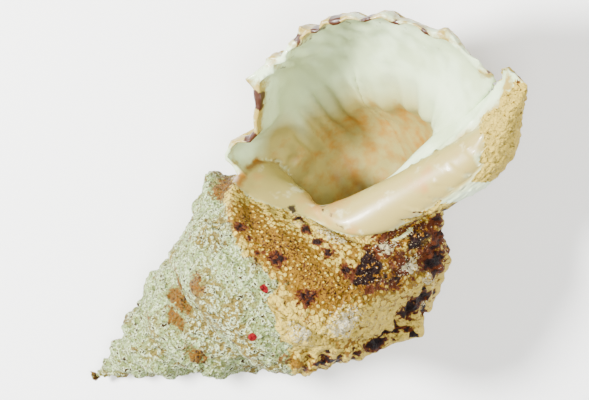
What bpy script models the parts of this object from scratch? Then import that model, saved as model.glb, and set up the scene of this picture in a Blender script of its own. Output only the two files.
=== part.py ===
"""Triton shell: one hollow solid that rests on its back with the aperture up. Metres, +Z up."""

import math

import bmesh
import bpy
import numpy as np
from mathutils import Matrix, Vector

# The shell's own frame: the apex at the origin, +Z along the coiling axis to the siphonal canal,
# the outer lip in the half plane of +X, the aperture facing +Y. Radii and heights are shares of
# LENGTH, and a place on the spiral is t in turns, 0 at the lip and negative towards the apex.
LENGTH = 0.240
RADIUS_GROWTH = 1.564
HEIGHT_GROWTH = 1.564
FIRST_TURN = -7.0

# Half profile of a whorl at t = 0, from the suture over the shoulder to the base.
SUTURE = (0.166, 0.503)
WHORL = ((0.203, 0.530), (0.247, 0.565), (0.277, 0.609), (0.270, 0.664), (0.258, 0.722))
BASE = ((0.200, 0.812), (0.152, 0.858), (0.100, 0.888), (0.062, 0.912))

# Past the lip no whorl covers the suture line, so the body whorl rounds off inside it.
BELOW = (0.075, 0.055)

# Edge of the outer lip from past the suture, which leaves the spiral over the last LIP_TURNS.
LIP_TURNS = 0.15
LIP = (
    (0.206, 0.475),
    (0.215, 0.545),
    (0.280, 0.612),
    (0.291, 0.668),
    (0.293, 0.725),
    (0.289, 0.778),
    (0.263, 0.838),
    (0.217, 0.886),
    (0.147, 0.926),
    (0.078, 0.945),
)

# The columella is slimmer where it turns into the mouth, one turn before the lip.
SLIM = 0.42
SLIM_TURNS = 0.15

# Siphonal canal and its stem round the columella.
STEM_RADII = ((-1.4, 0.0), (-1.0, 0.022), (-0.5, 0.044), (0.0, 0.052))
CANAL_BEND = (0.052, 0.016)
CANAL_BEND_FROM = 0.84

# The body whorl is narrower on the side away from the lip.
NARROWING = 0.097
NARROWING_AT = -0.45
NARROWING_TURNS = 0.20

# Relief
KNOBS_PER_TURN = 10
SHOULDER_KNOB = 0.016
LOWER_KNOB = 0.007
CORD = 0.004
VARIX_TURNS = (-0.45, -1.11, -1.79, -2.49)
VARIX_LAG = ((0.0, -0.25), (0.5, -0.185), (0.68, -0.15), (0.85, -0.05), (1.05, 0.0), (1.4, 0.03))
VARIX_HEIGHT = 0.018
VARIX_WIDTH = 0.040
LIP_SCALLOP = 0.006
SCALLOPS = 17
LIP_RIB = 0.010
LIP_RIB_AT = -0.14
LIP_RIB_TURNS = 0.025

# Swellings and hollows of this shell's own: turn, s, half width in turns, half width in s, height
SWELLS = (
    (-0.92, 0.46, 0.08, 0.15, -0.030),
    (-0.95, 0.64, 0.07, 0.10, -0.010),
    (-0.97, 0.38, 0.05, 0.12, -0.018),
    (-1.00, 0.80, 0.05, 0.14, 0.028),
    (-0.92, 0.08, 0.05, 0.10, 0.016),
    (-0.45, 1.05, 0.05, 0.25, 0.012),
    (-0.49, 0.86, 0.022, 0.06, 0.020),
    (-0.53, 0.83, 0.03, 0.06, -0.008),
    (-0.37, 1.28, 0.05, 0.11, -0.028),
    (-0.48, 1.50, 0.12, 0.12, -0.012),
    (-0.58, 0.53, 0.10, 0.14, -0.024),
    (-1.56, 0.55, 0.07, 0.18, -0.018),
    (-2.57, 0.70, 0.08, 0.18, -0.012),
    (-1.93, 0.50, 0.07, 0.16, -0.030),
    (-1.97, 0.86, 0.05, 0.12, 0.014),
    (-1.93, 0.08, 0.05, 0.10, 0.010),
    (-2.97, 0.84, 0.06, 0.14, 0.008),
    (-0.45, 1.89, 0.22, 0.07, -0.040),
    (-0.56, 1.70, 0.14, 0.10, 0.012),
    (0.00, 0.30, 0.04, 0.06, -0.008),
    (0.00, 0.53, 0.05, 0.05, -0.012),
    (0.00, 0.62, 0.05, 0.05, -0.012),
    (0.00, 0.72, 0.05, 0.05, -0.006),
    (0.00, 1.10, 0.05, 0.15, -0.005),
    (0.00, 1.46, 0.05, 0.08, 0.008),
)

# Wall and hollow
WALL = 0.013
LIP_WALL = 0.007
CAVITY_FROM = -1.30
CAVITY_TO = 0.03

# Inner lip: a glazed shield over the columella, from inside the mouth to its free edge. Each row
# is a place s down the base, the turn where the shield ends there, its thickness at the crest and
# its thickness at the edge.
SHIELD_FROM = -1.20
SHIELD_CREST = 0.35
SHIELD = (
    (0.90, -1.000, 0.016, 0.004),
    (1.00, -0.960, 0.034, 0.003),
    (1.15, -0.935, 0.042, 0.003),
    (1.30, -0.925, 0.046, 0.003),
    (1.42, -0.880, 0.050, 0.005),
    (1.50, -0.790, 0.050, 0.010),
    (1.55, -0.650, 0.044, 0.014),
    (1.60, -0.570, 0.032, 0.014),
    (1.65, -0.610, 0.022, 0.012),
    (1.72, -0.630, 0.014, 0.012),
    (1.76, -0.640, 0.010, 0.011),
    (1.79, -0.690, 0.008, 0.010),
    (1.81, -0.750, 0.007, 0.009),
    (1.84, -0.850, 0.006, 0.007),
    (1.90, -0.960, 0.004, 0.004),
)
SHIELD_ROOT = 0.005

# Direction in the half plane in which the shield is built up, and how much of it is that way
SHIELD_WAY = (0.75, 0.66)
SHIELD_LEAN = 0.85

# Resolution
STEPS_PER_TURN = 40
WHORL_STEPS = 10
BASE_STEPS = 11
HOLLOW_STEPS_PER_TURN = 40
HOLLOW_STEPS = 24
SHIELD_STEPS = 22
SHIELD_RING = 14

# The shell rests on its back. REST_UP is the upward direction in the shell's own frame, and
# the lowest FLAT of the knobs it stands on is worn flat.
REST_UP = (0.060, 0.936, 0.348)
FLAT = 0.0012


def smooth(x):
    x = np.clip(x, 0.0, 1.0)
    return x * x * (3.0 - 2.0 * x)


def narrowing(t):
    return 1.0 - NARROWING * np.exp(-(((t - NARROWING_AT) / NARROWING_TURNS) ** 2))


def suture(t):
    """Radius and height of the suture, which meets the axis one turn after the apex."""
    radius = SUTURE[0] * (RADIUS_GROWTH**t - RADIUS_GROWTH ** (FIRST_TURN + 1.0))
    height = SUTURE[1] * (HEIGHT_GROWTH**t - HEIGHT_GROWTH ** (FIRST_TURN + 1.0))
    bare = smooth(t / 0.30)
    radius = np.maximum(radius, 0.0) * narrowing(t - 1.0) * (1.0 - BELOW[0] * bare)
    return radius, np.maximum(height, 0.0) * (1.0 - BELOW[1] * bare)


def controls(t):
    """Control points of the half profile at each t, as an array of (t, point, radius or height)."""
    t = np.asarray(t, float)
    points = [suture(t)]
    grow_r = RADIUS_GROWTH**t - RADIUS_GROWTH**FIRST_TURN
    grow_h = HEIGHT_GROWTH**t - HEIGHT_GROWTH**FIRST_TURN
    for radius, height in WHORL:
        points.append((radius * grow_r * narrowing(t), height * grow_h))
    points.append(suture(t + 1.0))
    stem = np.interp(t, *zip(*STEM_RADII))
    slim = SLIM * np.exp(-(((t + 1.0) / SLIM_TURNS) ** 2))
    for index, (radius, height) in enumerate(BASE):
        share = (1.0 - slim * index / (len(BASE) - 1)) * narrowing(t)
        points.append((np.maximum(radius * grow_r * share, stem), height * grow_h))
    flare = smooth((t + LIP_TURNS) / LIP_TURNS) ** 1.3
    for index, (radius, height) in enumerate(LIP, start=1):
        old_r, old_h = points[index]
        points[index] = (old_r + flare * (radius - old_r), old_h + flare * (height - old_h))
    last_h = points[-1][1]
    neck = np.minimum(stem, points[-1][0])
    points.append((neck, last_h + 0.40 * (0.985 - last_h)))
    points.append((0.95 * neck, last_h + 0.85 * (0.985 - last_h)))
    points.append((np.zeros_like(t), np.full_like(t, 0.995)))
    return np.stack([np.stack(np.broadcast_arrays(r, h), -1) for r, h in points], 1)


WHORL_POINTS = len(WHORL) + 1
ALL_POINTS = WHORL_POINTS + len(BASE) + 3
PLACES = [i / WHORL_POINTS for i in range(WHORL_POINTS)]
PLACES += [1.0 + i / (ALL_POINTS - WHORL_POINTS) for i in range(ALL_POINTS - WHORL_POINTS + 1)]


def weights(s):
    """Catmull-Rom weights of the control points at s, 0 to 1 on the whorl and 1 to 2 on the base."""
    s = np.asarray(s, float)
    base_place = WHORL_POINTS + (s - 1.0) * (ALL_POINTS - WHORL_POINTS)
    place = np.where(s < 1.0, s * WHORL_POINTS, base_place)
    start = np.clip(place.astype(int), 0, ALL_POINTS - 1)
    f = place - start
    parts = (
        -0.5 * f + f**2 - 0.5 * f**3,
        1.0 - 2.5 * f**2 + 1.5 * f**3,
        0.5 * f + 2.0 * f**2 - 1.5 * f**3,
        -0.5 * f**2 + 0.5 * f**3,
    )
    result = np.zeros((len(s), ALL_POINTS + 1))
    for offset, part in enumerate(parts):
        column = np.clip(start + offset - 1, 0, ALL_POINTS)
        np.add.at(result, (np.arange(len(s)), column), part)
    return result


def swelling(t, s):
    """Height of the shell's own swellings and hollows at each t and s."""
    total = np.zeros(np.broadcast(t, s).shape)
    for turn_at, s_at, turns, width, height in SWELLS:
        far = ((t - turn_at) / turns) ** 2 + ((s - s_at) / width) ** 2
        total = total + height * np.exp(-far)
    return total * smooth((2.0 - s) / 0.08)


def relief(t, s):
    """Height of knobs, cords, varices and lip scallops over the plain whorl."""
    turn = t * KNOBS_PER_TURN
    wave = 0.5 + 0.5 * np.cos(2.0 * np.pi * turn)
    shoulder = np.exp(-(((s - 0.50) / 0.10) ** 2)) * wave**1.5
    lower = np.exp(-(((s - 0.76) / 0.06) ** 2)) * wave
    size = RADIUS_GROWTH**t
    body = smooth((t + 1.0) / 0.1)
    edge = smooth(s / 0.12) * (body + (1.0 - body) * smooth((1.0 - s) / 0.12))
    away = 1.0 - smooth((s - 1.45) / 0.3)
    cords = CORD * np.cos(2.0 * np.pi * s * 5.0) * smooth((s - 0.45) / 0.1)
    total = SHOULDER_KNOB * shoulder + LOWER_KNOB * lower + cords
    lag = np.interp(s, *zip(*VARIX_LAG))
    for place in VARIX_TURNS:
        ridge = np.exp(-(((t - place - lag) / VARIX_WIDTH) ** 2))
        total = total + VARIX_HEIGHT * ridge * smooth(s / 0.4)
    scallop = LIP_SCALLOP * np.cos(np.pi * SCALLOPS * s) * np.exp(t / 0.02)
    return ((total * size + scallop) * away + swelling(t, s)) * edge


def surface(t, s, lift=0.0, plain=False, lean=0.0):
    """Points of the outer surface at paired t and s, moved out by lift along the leaning normal."""
    t = np.asarray(t, float)
    s = np.asarray(s, float)
    values, back = np.unique(t, return_inverse=True)
    table = controls(values)
    profile = np.einsum("nk,nkc->nc", weights(s), table[back])
    ahead = np.einsum("nk,nkc->nc", weights(np.minimum(s + 0.01, 2.0)), table[back])
    behind = np.einsum("nk,nkc->nc", weights(np.maximum(s - 0.01, 0.0)), table[back])
    along = ahead - behind
    length = np.maximum(np.hypot(along[:, 0], along[:, 1]), 1e-9)
    normal = np.stack([along[:, 1], -along[:, 0]], 1) / length[:, None]
    height = np.zeros_like(t) if plain else relief(t, s)
    way = (1.0 - lean) * normal + lean * np.array(SHIELD_WAY)
    profile = profile + way * (height + lift)[:, None]
    return turned(t, profile)


def turned(t, profile):
    """Half-plane points (radius, height) swung to the angle of t, with the bend of the canal."""
    angle = 2.0 * np.pi * np.asarray(t)
    radius = profile[:, 0]
    height = profile[:, 1]
    bend = np.maximum((height - CANAL_BEND_FROM) / (1.0 - CANAL_BEND_FROM), 0.0) ** 2
    x = radius * np.cos(angle) + CANAL_BEND[0] * bend
    y = radius * np.sin(angle) + CANAL_BEND[1] * bend
    return np.stack([x, y, height], 1)


def grid_mesh(bm, columns, rows, place):
    """Adds a grid whose vertices go where place puts each (column share, row share)."""
    made = bmesh.ops.create_grid(bm, x_segments=columns, y_segments=rows, size=0.5)
    verts = made["verts"]
    shares = np.array([v.co[:2] for v in verts]) + 0.5
    for vert, point in zip(verts, place(shares[:, 0], shares[:, 1])):
        vert.co = point
    return verts


def fill_loops(bm, edges):
    """Fills each open loop with a lid that faces along the loop's own normal."""
    left = set(edges)
    while left:
        loop = [left.pop()]
        ends = set(loop[0].verts)
        growing = True
        while growing:
            found = [edge for edge in left if ends & set(edge.verts)]
            growing = bool(found)
            for edge in found:
                left.discard(edge)
                loop.append(edge)
                ends |= set(edge.verts)
        points = np.array([v.co for v in ends])
        axes = np.linalg.svd(points - points.mean(0))[2]
        bmesh.ops.triangle_fill(bm, edges=loop, use_beauty=True, normal=axes[2])


def finished(bm, name, collection, hidden):
    bmesh.ops.remove_doubles(bm, verts=bm.verts, dist=2e-6)
    bmesh.ops.dissolve_degenerate(bm, edges=bm.edges, dist=1e-7)
    edges = [edge for edge in bm.edges if edge.is_boundary]
    if edges:
        fill_loops(bm, edges)
    bmesh.ops.recalc_face_normals(bm, faces=bm.faces)
    bmesh.ops.triangulate(bm, faces=bm.faces)
    if bm.calc_volume(signed=True) < 0.0:
        bmesh.ops.reverse_faces(bm, faces=bm.faces)
    mesh = bpy.data.meshes.new(name)
    bm.to_mesh(mesh)
    bm.free()
    shape = bpy.data.objects.new(name, mesh)
    collection.objects.link(shape)
    if hidden:
        shape.hide_render = True
        shape.display_type = "WIRE"
    return shape


def outer_shell(collection):
    """Whorls from the apex to the lip, the base of the last one, and a lid over the mouth."""
    bm = bmesh.new()
    turns = -FIRST_TURN
    columns = int(round(turns * STEPS_PER_TURN))

    def whorls(u, v):
        t = np.round(u * columns) / STEPS_PER_TURN + FIRST_TURN
        return surface(t, v) * LENGTH

    def base(u, v):
        t = np.round(u * STEPS_PER_TURN) / STEPS_PER_TURN - 1.0
        return surface(t, 1.0 + v) * LENGTH

    grid_mesh(bm, columns, WHORL_STEPS, whorls)
    grid_mesh(bm, STEPS_PER_TURN, BASE_STEPS, base)
    return finished(bm, "triton_shell", collection, False)


HOLLOW_POINTS = 17


def hollow_outline(t):
    """Closed control outline of the hollow at t: along the whorl's wall, then back up the columella."""
    now = controls([t])[0]
    before = controls([t - 1.0])[0]
    size = RADIUS_GROWTH**t
    wall = WALL * size
    lip = smooth((t + 0.06) / 0.06)
    outer_wall = wall + lip * (LIP_WALL - wall)
    opening = smooth((t + 0.13) / 0.13)
    stem = max(before[10, 0], 0.020)
    closed_end = np.array([0.5 * (now[9, 0] + stem), now[9, 1] - 1.2 * wall])
    canal_side = closed_end + opening * (now[10] - closed_end)
    canal_end = closed_end + opening * (np.array([0.032, 0.975]) - closed_end)
    side = np.array([stem - 0.004 * opening, 0.5 * (canal_end[1] + before[10, 1])])
    outer = [now[i] for i in range(1, 10)] + [canal_side]
    inner = [canal_end, side, before[10], before[9], before[8], before[7], now[0]]
    points = np.array(outer + inner)
    thin = wall * (1.0 - 0.5 * opening)
    inner_walls = [0.4 * wall] * 2 + [thin] * 2 + [wall] * (len(inner) - 4)
    widths = np.array([outer_wall] * len(outer) + inner_walls)
    along = np.roll(points, -1, 0) - np.roll(points, 1, 0)
    along /= np.maximum(np.hypot(along[:, 0], along[:, 1]), 1e-9)[:, None]
    inward = np.stack([-along[:, 1], along[:, 0]], 1)
    area = np.sum(points[:, 0] * np.roll(points[:, 1], -1) - points[:, 1] * np.roll(points[:, 0], -1))
    return points + inward * (math.copysign(1.0, area) * widths)[:, None]


def inner_relief(t, shares):
    """How far the hollow moves out where it follows the whorl, at shares 0 to 1 round it."""
    place = shares * HOLLOW_POINTS
    s = np.interp(place, range(9), PLACES[1:10])
    s = np.where(place > HOLLOW_POINTS - 1, (place - HOLLOW_POINTS + 1) * PLACES[1], s)
    near = np.maximum(1.0 - smooth(place - 8.0), smooth(place - HOLLOW_POINTS + 1))
    waves = np.cos(np.pi * SCALLOPS * s)
    rib = LIP_RIB * np.exp(-(((t - LIP_RIB_AT) / LIP_RIB_TURNS) ** 2)) * (1.0 + 0.25 * waves)
    ripple = 0.8 * LIP_SCALLOP * waves * math.exp(min(t, 0.0) / 0.04)
    return (np.minimum(swelling(t, s), 0.0) + ripple - rib) * near


def closed_curve(points, shares):
    """Catmull-Rom curve through a ring of points at shares 0 to 1 of the way round."""
    count = len(points)
    place = shares * count
    start = np.floor(place).astype(int)
    f = (place - start)[:, None]
    a, b, c, d = (points[(start + k) % count] for k in (-1, 0, 1, 2))
    bow = 2.0 * a - 5.0 * b + 4.0 * c - d
    twist = 3.0 * b - a - 3.0 * c + d
    return b + 0.5 * ((c - a) * f + bow * f**2 + twist * f**3)


def hollow(collection):
    """The hollow of the last turns, a closed coil that comes out of the mouth."""
    bm = bmesh.new()
    span = CAVITY_TO - CAVITY_FROM
    columns = int(round(span * HOLLOW_STEPS_PER_TURN))

    def place(u, v):
        points = np.empty((len(u), 3))
        for share in np.unique(u):
            here = u == share
            t = CAVITY_FROM + span * share
            ring = v[here] % 1.0
            outline = hollow_outline(t)
            profile = closed_curve(outline, ring)
            ahead = closed_curve(outline, (ring + 0.002) % 1.0)
            along = ahead - closed_curve(outline, (ring - 0.002) % 1.0)
            along /= np.maximum(np.hypot(along[:, 0], along[:, 1]), 1e-9)[:, None]
            outward = np.stack([along[:, 1], -along[:, 0]], 1)
            profile = profile + outward * inner_relief(t, ring)[:, None]
            points[here] = turned(np.full(here.sum(), t), profile)
        return points * LENGTH

    grid_mesh(bm, columns, HOLLOW_STEPS, place)
    return finished(bm, "hollow", collection, True)


def shield(collection):
    """Inner lip, a closed slab whose ring runs out over its face and back under it."""
    bm = bmesh.new()
    rows, edges, crests, rims = np.array(SHIELD).T

    def place(u, v):
        s = rows[0] + (rows[-1] - rows[0]) * u
        edge = np.interp(s, rows, edges)
        ring = v % 1.0
        top = ring < 0.5
        across = np.where(top, 2.0 * ring, 2.0 - 2.0 * ring)
        t = SHIELD_FROM + (edge - SHIELD_FROM) * across
        crest = np.interp(s, rows, crests) * smooth(across / SHIELD_CREST)
        fall = smooth((across - SHIELD_CREST) / (1.0 - SHIELD_CREST))
        height = crest + fall * (np.interp(s, rows, rims) - crest)
        ends = smooth((s - rows[0]) / 0.10) * smooth((rows[-1] - s) / 0.10)
        lift = np.where(top & (across > 0.0), height * (0.15 + 0.85 * ends), -SHIELD_ROOT)
        return surface(t, s, lift=lift, plain=True, lean=SHIELD_LEAN) * LENGTH

    grid_mesh(bm, SHIELD_STEPS, SHIELD_RING, place)
    return finished(bm, "inner_lip", collection, True)


def clear_scene():
    for shape in list(bpy.data.objects):
        bpy.data.objects.remove(shape)


def stand_up(shapes):
    """Turns the shell onto its back, with its length along X, and sets its base at the origin."""
    up = Vector(REST_UP).normalized()
    ahead = Vector((0.0, 0.0, 1.0))
    ahead = (ahead - ahead.dot(up) * up).normalized()
    turn = Matrix((ahead, up.cross(ahead), up))
    for shape in shapes:
        shape.data.transform(turn.to_4x4())
    points = np.array([v.co for v in shapes[0].data.vertices])
    low = points.min(0)
    high = points.max(0)
    shift = Vector((-0.5 * (low[0] + high[0]), -0.5 * (low[1] + high[1]), -low[2] - FLAT))
    for shape in shapes:
        shape.data.transform(Matrix.Translation(shift))


def ground(collection):
    """Block whose top is the surface that the shell stands on."""
    bm = bmesh.new()
    bmesh.ops.create_cube(bm, size=1.0)
    bmesh.ops.scale(bm, verts=bm.verts, vec=(2.0 * LENGTH, 2.0 * LENGTH, 0.1))
    bmesh.ops.translate(bm, verts=bm.verts, vec=(0.0, 0.0, -0.05))
    return finished(bm, "ground", collection, True)


def combine(body, operation, other):
    step = body.modifiers.new(other.name, "BOOLEAN")
    step.operation = operation
    step.solver = "MANIFOLD"
    step.object = other


def glazed_shell():
    material = bpy.data.materials.new("shell")
    material.use_nodes = True
    surface_node = material.node_tree.nodes["Principled BSDF"]
    surface_node.inputs["Base Color"].default_value = (0.74, 0.66, 0.48, 1.0)
    surface_node.inputs["Roughness"].default_value = 0.45
    return material


def main():
    clear_scene()
    scene = bpy.context.scene
    shell = bpy.data.collections.new("triton_shell")
    scene.collection.children.link(shell)
    cutters = bpy.data.collections.new("cutters")
    scene.collection.children.link(cutters)

    body = outer_shell(shell)
    inside = hollow(cutters)
    inner_lip = shield(cutters)
    stand_up([body, inside, inner_lip])
    combine(body, "DIFFERENCE", inside)
    combine(body, "UNION", inner_lip)
    combine(body, "DIFFERENCE", ground(cutters))
    body.data.materials.append(glazed_shell())


main()
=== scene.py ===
import math

import bmesh
import bpy
import numpy as np
from mathutils import Matrix, Vector, kdtree, noise


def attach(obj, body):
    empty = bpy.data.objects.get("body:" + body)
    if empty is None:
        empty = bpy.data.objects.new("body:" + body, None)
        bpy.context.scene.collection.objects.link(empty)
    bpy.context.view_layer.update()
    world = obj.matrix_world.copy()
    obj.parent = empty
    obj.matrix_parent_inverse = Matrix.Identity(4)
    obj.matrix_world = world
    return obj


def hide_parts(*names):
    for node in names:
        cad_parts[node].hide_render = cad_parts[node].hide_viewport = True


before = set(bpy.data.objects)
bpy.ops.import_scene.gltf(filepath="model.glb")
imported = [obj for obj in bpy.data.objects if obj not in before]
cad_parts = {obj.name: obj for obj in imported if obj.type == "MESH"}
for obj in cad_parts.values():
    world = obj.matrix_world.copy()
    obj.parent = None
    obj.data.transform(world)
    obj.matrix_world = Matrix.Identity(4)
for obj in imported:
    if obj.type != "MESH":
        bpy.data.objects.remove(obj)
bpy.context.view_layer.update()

# The shell's own frame: the apex at the origin, +Z along the coiling axis to the siphonal canal,
# the outer lip in the half plane of +X, the aperture facing +Y. Radii and heights are shares of
# LENGTH, and a place on the spiral is t in turns, 0 at the lip and negative towards the apex.
LENGTH = 0.240
RADIUS_GROWTH = 1.564
HEIGHT_GROWTH = 1.564
FIRST_TURN = -7.0

# Half profile of a whorl at t = 0, from the suture over the shoulder to the base.
SUTURE = (0.166, 0.503)
WHORL = ((0.203, 0.530), (0.247, 0.565), (0.277, 0.609), (0.270, 0.664), (0.258, 0.722))
BASE = ((0.200, 0.812), (0.152, 0.858), (0.100, 0.888), (0.062, 0.912))

# Past the lip no whorl covers the suture line, so the body whorl rounds off inside it.
BELOW = (0.075, 0.055)

# Edge of the outer lip from past the suture, which leaves the spiral over the last LIP_TURNS.
LIP_TURNS = 0.15
LIP = (
    (0.206, 0.475),
    (0.215, 0.545),
    (0.280, 0.612),
    (0.291, 0.668),
    (0.293, 0.725),
    (0.289, 0.778),
    (0.263, 0.838),
    (0.217, 0.886),
    (0.147, 0.926),
    (0.078, 0.945),
)

# The columella is slimmer where it turns into the mouth, one turn before the lip.
SLIM = 0.42
SLIM_TURNS = 0.15

# Siphonal canal and its stem round the columella.
STEM_RADII = ((-1.4, 0.0), (-1.0, 0.022), (-0.5, 0.044), (0.0, 0.052))
CANAL_BEND = (0.052, 0.016)
CANAL_BEND_FROM = 0.84

# The body whorl is narrower on the side away from the lip.
NARROWING = 0.097
NARROWING_AT = -0.45
NARROWING_TURNS = 0.20

# Relief
KNOBS_PER_TURN = 10
SHOULDER_KNOB = 0.016
LOWER_KNOB = 0.007
CORD = 0.004
VARIX_TURNS = (-0.45, -1.11, -1.79, -2.49)
VARIX_LAG = ((0.0, -0.25), (0.5, -0.185), (0.68, -0.15), (0.85, -0.05), (1.05, 0.0), (1.4, 0.03))
VARIX_HEIGHT = 0.018
VARIX_WIDTH = 0.040
LIP_SCALLOP = 0.006
SCALLOPS = 17
LIP_RIB = 0.010
LIP_RIB_AT = -0.14
LIP_RIB_TURNS = 0.025

# Swellings and hollows of this shell's own: turn, s, half width in turns, half width in s, height
SWELLS = (
    (-0.92, 0.46, 0.08, 0.15, -0.030),
    (-0.95, 0.64, 0.07, 0.10, -0.010),
    (-0.97, 0.38, 0.05, 0.12, -0.018),
    (-1.00, 0.80, 0.05, 0.14, 0.028),
    (-0.92, 0.08, 0.05, 0.10, 0.016),
    (-0.45, 1.05, 0.05, 0.25, 0.012),
    (-0.49, 0.86, 0.022, 0.06, 0.020),
    (-0.53, 0.83, 0.03, 0.06, -0.008),
    (-0.37, 1.28, 0.05, 0.11, -0.028),
    (-0.48, 1.50, 0.12, 0.12, -0.012),
    (-0.58, 0.53, 0.10, 0.14, -0.024),
    (-1.56, 0.55, 0.07, 0.18, -0.018),
    (-2.57, 0.70, 0.08, 0.18, -0.012),
    (-1.93, 0.50, 0.07, 0.16, -0.030),
    (-1.97, 0.86, 0.05, 0.12, 0.014),
    (-1.93, 0.08, 0.05, 0.10, 0.010),
    (-2.97, 0.84, 0.06, 0.14, 0.008),
    (-0.45, 1.89, 0.22, 0.07, -0.040),
    (-0.56, 1.70, 0.14, 0.10, 0.012),
    (0.00, 0.30, 0.04, 0.06, -0.008),
    (0.00, 0.53, 0.05, 0.05, -0.012),
    (0.00, 0.62, 0.05, 0.05, -0.012),
    (0.00, 0.72, 0.05, 0.05, -0.006),
    (0.00, 1.10, 0.05, 0.15, -0.005),
    (0.00, 1.46, 0.05, 0.08, 0.008),
)

# Wall and hollow
WALL = 0.013
LIP_WALL = 0.007
CAVITY_FROM = -1.30
CAVITY_TO = 0.03

# Inner lip: a glazed shield over the columella, from inside the mouth to its free edge. Each row
# is a place s down the base, the turn where the shield ends there, its thickness at the crest and
# its thickness at the edge.
SHIELD_FROM = -1.20
SHIELD_CREST = 0.35
SHIELD = (
    (0.90, -1.000, 0.016, 0.004),
    (1.00, -0.960, 0.034, 0.003),
    (1.15, -0.935, 0.042, 0.003),
    (1.30, -0.925, 0.046, 0.003),
    (1.42, -0.880, 0.050, 0.005),
    (1.50, -0.790, 0.050, 0.010),
    (1.55, -0.650, 0.044, 0.014),
    (1.60, -0.570, 0.032, 0.014),
    (1.65, -0.610, 0.022, 0.012),
    (1.72, -0.630, 0.014, 0.012),
    (1.76, -0.640, 0.010, 0.011),
    (1.79, -0.690, 0.008, 0.010),
    (1.81, -0.750, 0.007, 0.009),
    (1.84, -0.850, 0.006, 0.007),
    (1.90, -0.960, 0.004, 0.004),
)
SHIELD_ROOT = 0.005

# Direction in the half plane in which the shield is built up, and how much of it is that way
SHIELD_WAY = (0.75, 0.66)
SHIELD_LEAN = 0.85

# Resolution of the plain surfaces, before the finer mesh of the relief
STEPS_PER_TURN = 120
WHORL_STEPS = 28
BASE_STEPS = 30
HOLLOW_STEPS_PER_TURN = 90
HOLLOW_STEPS = 76
SHIELD_STEPS = 60
SHIELD_RING = 48

# The shell rests on its back. REST_UP is the upward direction in the shell's own frame, and
# SEAT is where the apex then sits.
REST_UP = (0.060, 0.936, 0.348)
SEAT = (-0.11119, -0.01246, 0.00782)


def smooth(x):
    x = np.clip(x, 0.0, 1.0)
    return x * x * (3.0 - 2.0 * x)


def narrowing(t):
    return 1.0 - NARROWING * np.exp(-(((t - NARROWING_AT) / NARROWING_TURNS) ** 2))


def suture(t):
    """Radius and height of the suture, which meets the axis one turn after the apex."""
    radius = SUTURE[0] * (RADIUS_GROWTH**t - RADIUS_GROWTH ** (FIRST_TURN + 1.0))
    height = SUTURE[1] * (HEIGHT_GROWTH**t - HEIGHT_GROWTH ** (FIRST_TURN + 1.0))
    bare = smooth(t / 0.30)
    radius = np.maximum(radius, 0.0) * narrowing(t - 1.0) * (1.0 - BELOW[0] * bare)
    return radius, np.maximum(height, 0.0) * (1.0 - BELOW[1] * bare)


def controls(t):
    """Control points of the half profile at each t, as an array of (t, point, radius or height)."""
    t = np.asarray(t, float)
    points = [suture(t)]
    grow_r = RADIUS_GROWTH**t - RADIUS_GROWTH**FIRST_TURN
    grow_h = HEIGHT_GROWTH**t - HEIGHT_GROWTH**FIRST_TURN
    for radius, height in WHORL:
        points.append((radius * grow_r * narrowing(t), height * grow_h))
    points.append(suture(t + 1.0))
    stem = np.interp(t, *zip(*STEM_RADII))
    slim = SLIM * np.exp(-(((t + 1.0) / SLIM_TURNS) ** 2))
    for index, (radius, height) in enumerate(BASE):
        share = (1.0 - slim * index / (len(BASE) - 1)) * narrowing(t)
        points.append((np.maximum(radius * grow_r * share, stem), height * grow_h))
    flare = smooth((t + LIP_TURNS) / LIP_TURNS) ** 1.3
    for index, (radius, height) in enumerate(LIP, start=1):
        old_r, old_h = points[index]
        points[index] = (old_r + flare * (radius - old_r), old_h + flare * (height - old_h))
    last_h = points[-1][1]
    neck = np.minimum(stem, points[-1][0])
    points.append((neck, last_h + 0.40 * (0.985 - last_h)))
    points.append((0.95 * neck, last_h + 0.85 * (0.985 - last_h)))
    points.append((np.zeros_like(t), np.full_like(t, 0.995)))
    return np.stack([np.stack(np.broadcast_arrays(r, h), -1) for r, h in points], 1)


WHORL_POINTS = len(WHORL) + 1
ALL_POINTS = WHORL_POINTS + len(BASE) + 3
PLACES = [i / WHORL_POINTS for i in range(WHORL_POINTS)]
PLACES += [1.0 + i / (ALL_POINTS - WHORL_POINTS) for i in range(ALL_POINTS - WHORL_POINTS + 1)]


def weights(s):
    """Catmull-Rom weights of the control points at s, 0 to 1 on the whorl and 1 to 2 on the base."""
    s = np.asarray(s, float)
    base_place = WHORL_POINTS + (s - 1.0) * (ALL_POINTS - WHORL_POINTS)
    place = np.where(s < 1.0, s * WHORL_POINTS, base_place)
    start = np.clip(place.astype(int), 0, ALL_POINTS - 1)
    f = place - start
    parts = (
        -0.5 * f + f**2 - 0.5 * f**3,
        1.0 - 2.5 * f**2 + 1.5 * f**3,
        0.5 * f + 2.0 * f**2 - 1.5 * f**3,
        -0.5 * f**2 + 0.5 * f**3,
    )
    result = np.zeros((len(s), ALL_POINTS + 1))
    for offset, part in enumerate(parts):
        column = np.clip(start + offset - 1, 0, ALL_POINTS)
        np.add.at(result, (np.arange(len(s)), column), part)
    return result


def swelling(t, s):
    """Height of the shell's own swellings and hollows at each t and s."""
    total = np.zeros(np.broadcast(t, s).shape)
    for turn_at, s_at, turns, width, height in SWELLS:
        far = ((t - turn_at) / turns) ** 2 + ((s - s_at) / width) ** 2
        total = total + height * np.exp(-far)
    return total * smooth((2.0 - s) / 0.08)


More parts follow.
